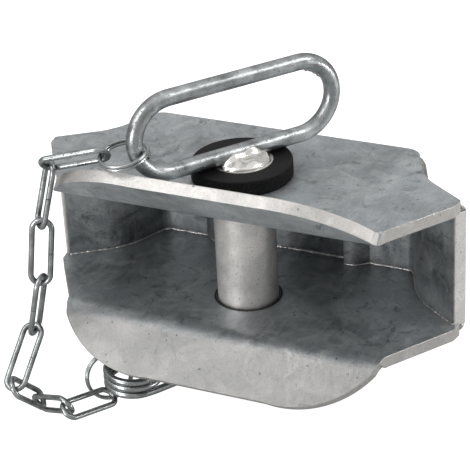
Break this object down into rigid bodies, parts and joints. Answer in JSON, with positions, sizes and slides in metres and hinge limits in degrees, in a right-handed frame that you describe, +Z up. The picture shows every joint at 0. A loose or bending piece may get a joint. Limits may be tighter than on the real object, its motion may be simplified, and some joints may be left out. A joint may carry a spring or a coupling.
{
  "type": "trailer coupler",
  "caption": "Drawbar jaw of two flared steel plates with a lift-out pin on an oval handle, a rubber ring, and a chain to the spring cotter that locks the pin",
  "frame": {"origin": "centre of the mouth on the pin's axis, where the drawbar eye sits", "axes": "+X across the jaw to its right when seen from the rear, the mouth opens towards -Y, +Z up along the pin"},
  "size_m": [0.2166, 0.1371, 0.1744],
  "materials": {
    "plate_zinc": "zinc plated plate, bluish grey, faint brush marks",
    "wall_zinc": "zinc plated strip, mottled grey",
    "weld_bead": "plated weld bead, rippled",
    "pin_steel": "satin plated pin",
    "handle_zinc": "bright plated rod",
    "weld_bright": "bright weld puddle",
    "black_rubber": "smooth top, rough side",
    "ring_wire": "bright spring wire",
    "chain_zinc": "dull plated link",
    "cotter_wire": "plated spring wire"
  },
  "bodies": {
    "jaw": {"top_plate": "plate_zinc", "bottom_plate": "plate_zinc", "left_side_wall": "wall_zinc", "right_side_wall": "wall_zinc", "back_plate": "wall_zinc", "upper_weld_left": "weld_bead", "upper_weld_right": "weld_bead", "lower_weld_left": "weld_bead", "lower_weld_right": "weld_bead", "back_weld_left": "weld_bead", "back_weld_right": "weld_bead"},
    "pin": {"coupling_pin": "pin_steel", "rubber_ring": "black_rubber", "handle": "handle_zinc", "handle_weld": "weld_bright"},
    "cotter": {"spring_cotter": "cotter_wire"},
    "top_ring": {"split_ring_top": "ring_wire"},
    "link_1": {"chain_link_1": "chain_zinc"},
    "link_2": {"chain_link_2": "chain_zinc"},
    "link_3": {"chain_link_3": "chain_zinc"},
    "link_4": {"chain_link_4": "chain_zinc"},
    "link_5": {"chain_link_5": "chain_zinc"},
    "link_6": {"chain_link_6": "chain_zinc"},
    "link_7": {"chain_link_7": "chain_zinc"},
    "link_8": {"chain_link_8": "chain_zinc"},
    "bottom_ring": {"split_ring_bottom": "ring_wire"}
  },
  "joints": [
    {"name": "pin_lift", "type": "slide", "parent": "jaw", "child": "pin", "axis": [0, 0, 1], "range_m": [0, 0.01]},
    {"name": "cotter_pull", "type": "slide", "parent": "pin", "child": "cotter", "axis": [-0.9245, -0.3811, 0], "range_m": [0, 0.042]},
    {"name": "top_ring_swing", "type": "hinge", "parent": "pin", "child": "top_ring", "pos_m": [-0.028, -0.043, 0.0625], "axis": [0.3811, -0.9245, 0], "range_deg": [-0.91, 0]},
    {"name": "link_1_swing", "type": "hinge", "parent": "top_ring", "child": "link_1", "pos_m": [-0.0483, -0.0462, 0.0609], "axis": [0.3811, -0.9245, 0], "range_deg": [-3.89, 0]},
    {"name": "link_2_swing", "type": "hinge", "parent": "link_1", "child": "link_2", "pos_m": [-0.0778, -0.0487, 0.0524], "axis": [0.3811, -0.9245, 0], "range_deg": [-6.11, 0]},
    {"name": "link_3_swing", "type": "hinge", "parent": "link_2", "child": "link_3", "pos_m": [-0.0823, -0.0522, 0.0214], "axis": [0.3811, -0.9245, 0], "range_deg": [-9, 0]},
    {"name": "link_4_swing", "type": "hinge", "parent": "link_3", "child": "link_4", "pos_m": [-0.0846, -0.0543, -0.009], "axis": [0.3811, -0.9245, 0], "range_deg": [-3.68, 0]},
    {"name": "link_5_swing", "type": "hinge", "parent": "link_4", "child": "link_5", "pos_m": [-0.0923, -0.0526, -0.0386], "axis": [0.3811, -0.9245, 0], "range_deg": [0, 1.51]},
    {"name": "link_6_swing", "type": "hinge", "parent": "link_5", "child": "link_6", "pos_m": [-0.0918, -0.0789, -0.0571], "axis": [0.3811, -0.9245, 0], "range_deg": [-2.02, 0]},
    {"name": "link_7_swing", "type": "hinge", "parent": "link_6", "child": "link_7", "pos_m": [-0.0921, -0.0555, -0.08], "axis": [0.3811, -0.9245, 0], "range_deg": [-0.93, 0]},
    {"name": "link_8_swing", "type": "hinge", "parent": "link_7", "child": "link_8", "pos_m": [-0.0669, -0.0717, -0.0682], "axis": [0.3811, -0.9245, 0], "range_deg": [0, 1.51]},
    {"name": "bottom_ring_swing", "type": "hinge", "parent": "link_8", "child": "bottom_ring", "pos_m": [-0.0588, -0.0426, -0.0768], "axis": [0.3811, -0.9245, 0], "range_deg": [-1.51, 0]}
  ],
  "couplings": [
    {"joint": "top_ring_swing", "follows": "cotter_pull", "rad_per_m": -0.37},
    {"joint": "link_1_swing", "follows": "cotter_pull", "rad_per_m": -1.61},
    {"joint": "link_2_swing", "follows": "cotter_pull", "rad_per_m": -2.53},
    {"joint": "link_3_swing", "follows": "cotter_pull", "rad_per_m": -3.73},
    {"joint": "link_4_swing", "follows": "cotter_pull", "rad_per_m": -1.52},
    {"joint": "link_5_swing", "follows": "cotter_pull", "rad_per_m": 0.62},
    {"joint": "link_6_swing", "follows": "cotter_pull", "rad_per_m": -0.83},
    {"joint": "link_7_swing", "follows": "cotter_pull", "rad_per_m": -0.38},
    {"joint": "link_8_swing", "follows": "cotter_pull", "rad_per_m": 0.62},
    {"joint": "bottom_ring_swing", "follows": "cotter_pull", "rad_per_m": -0.62}
  ]
}
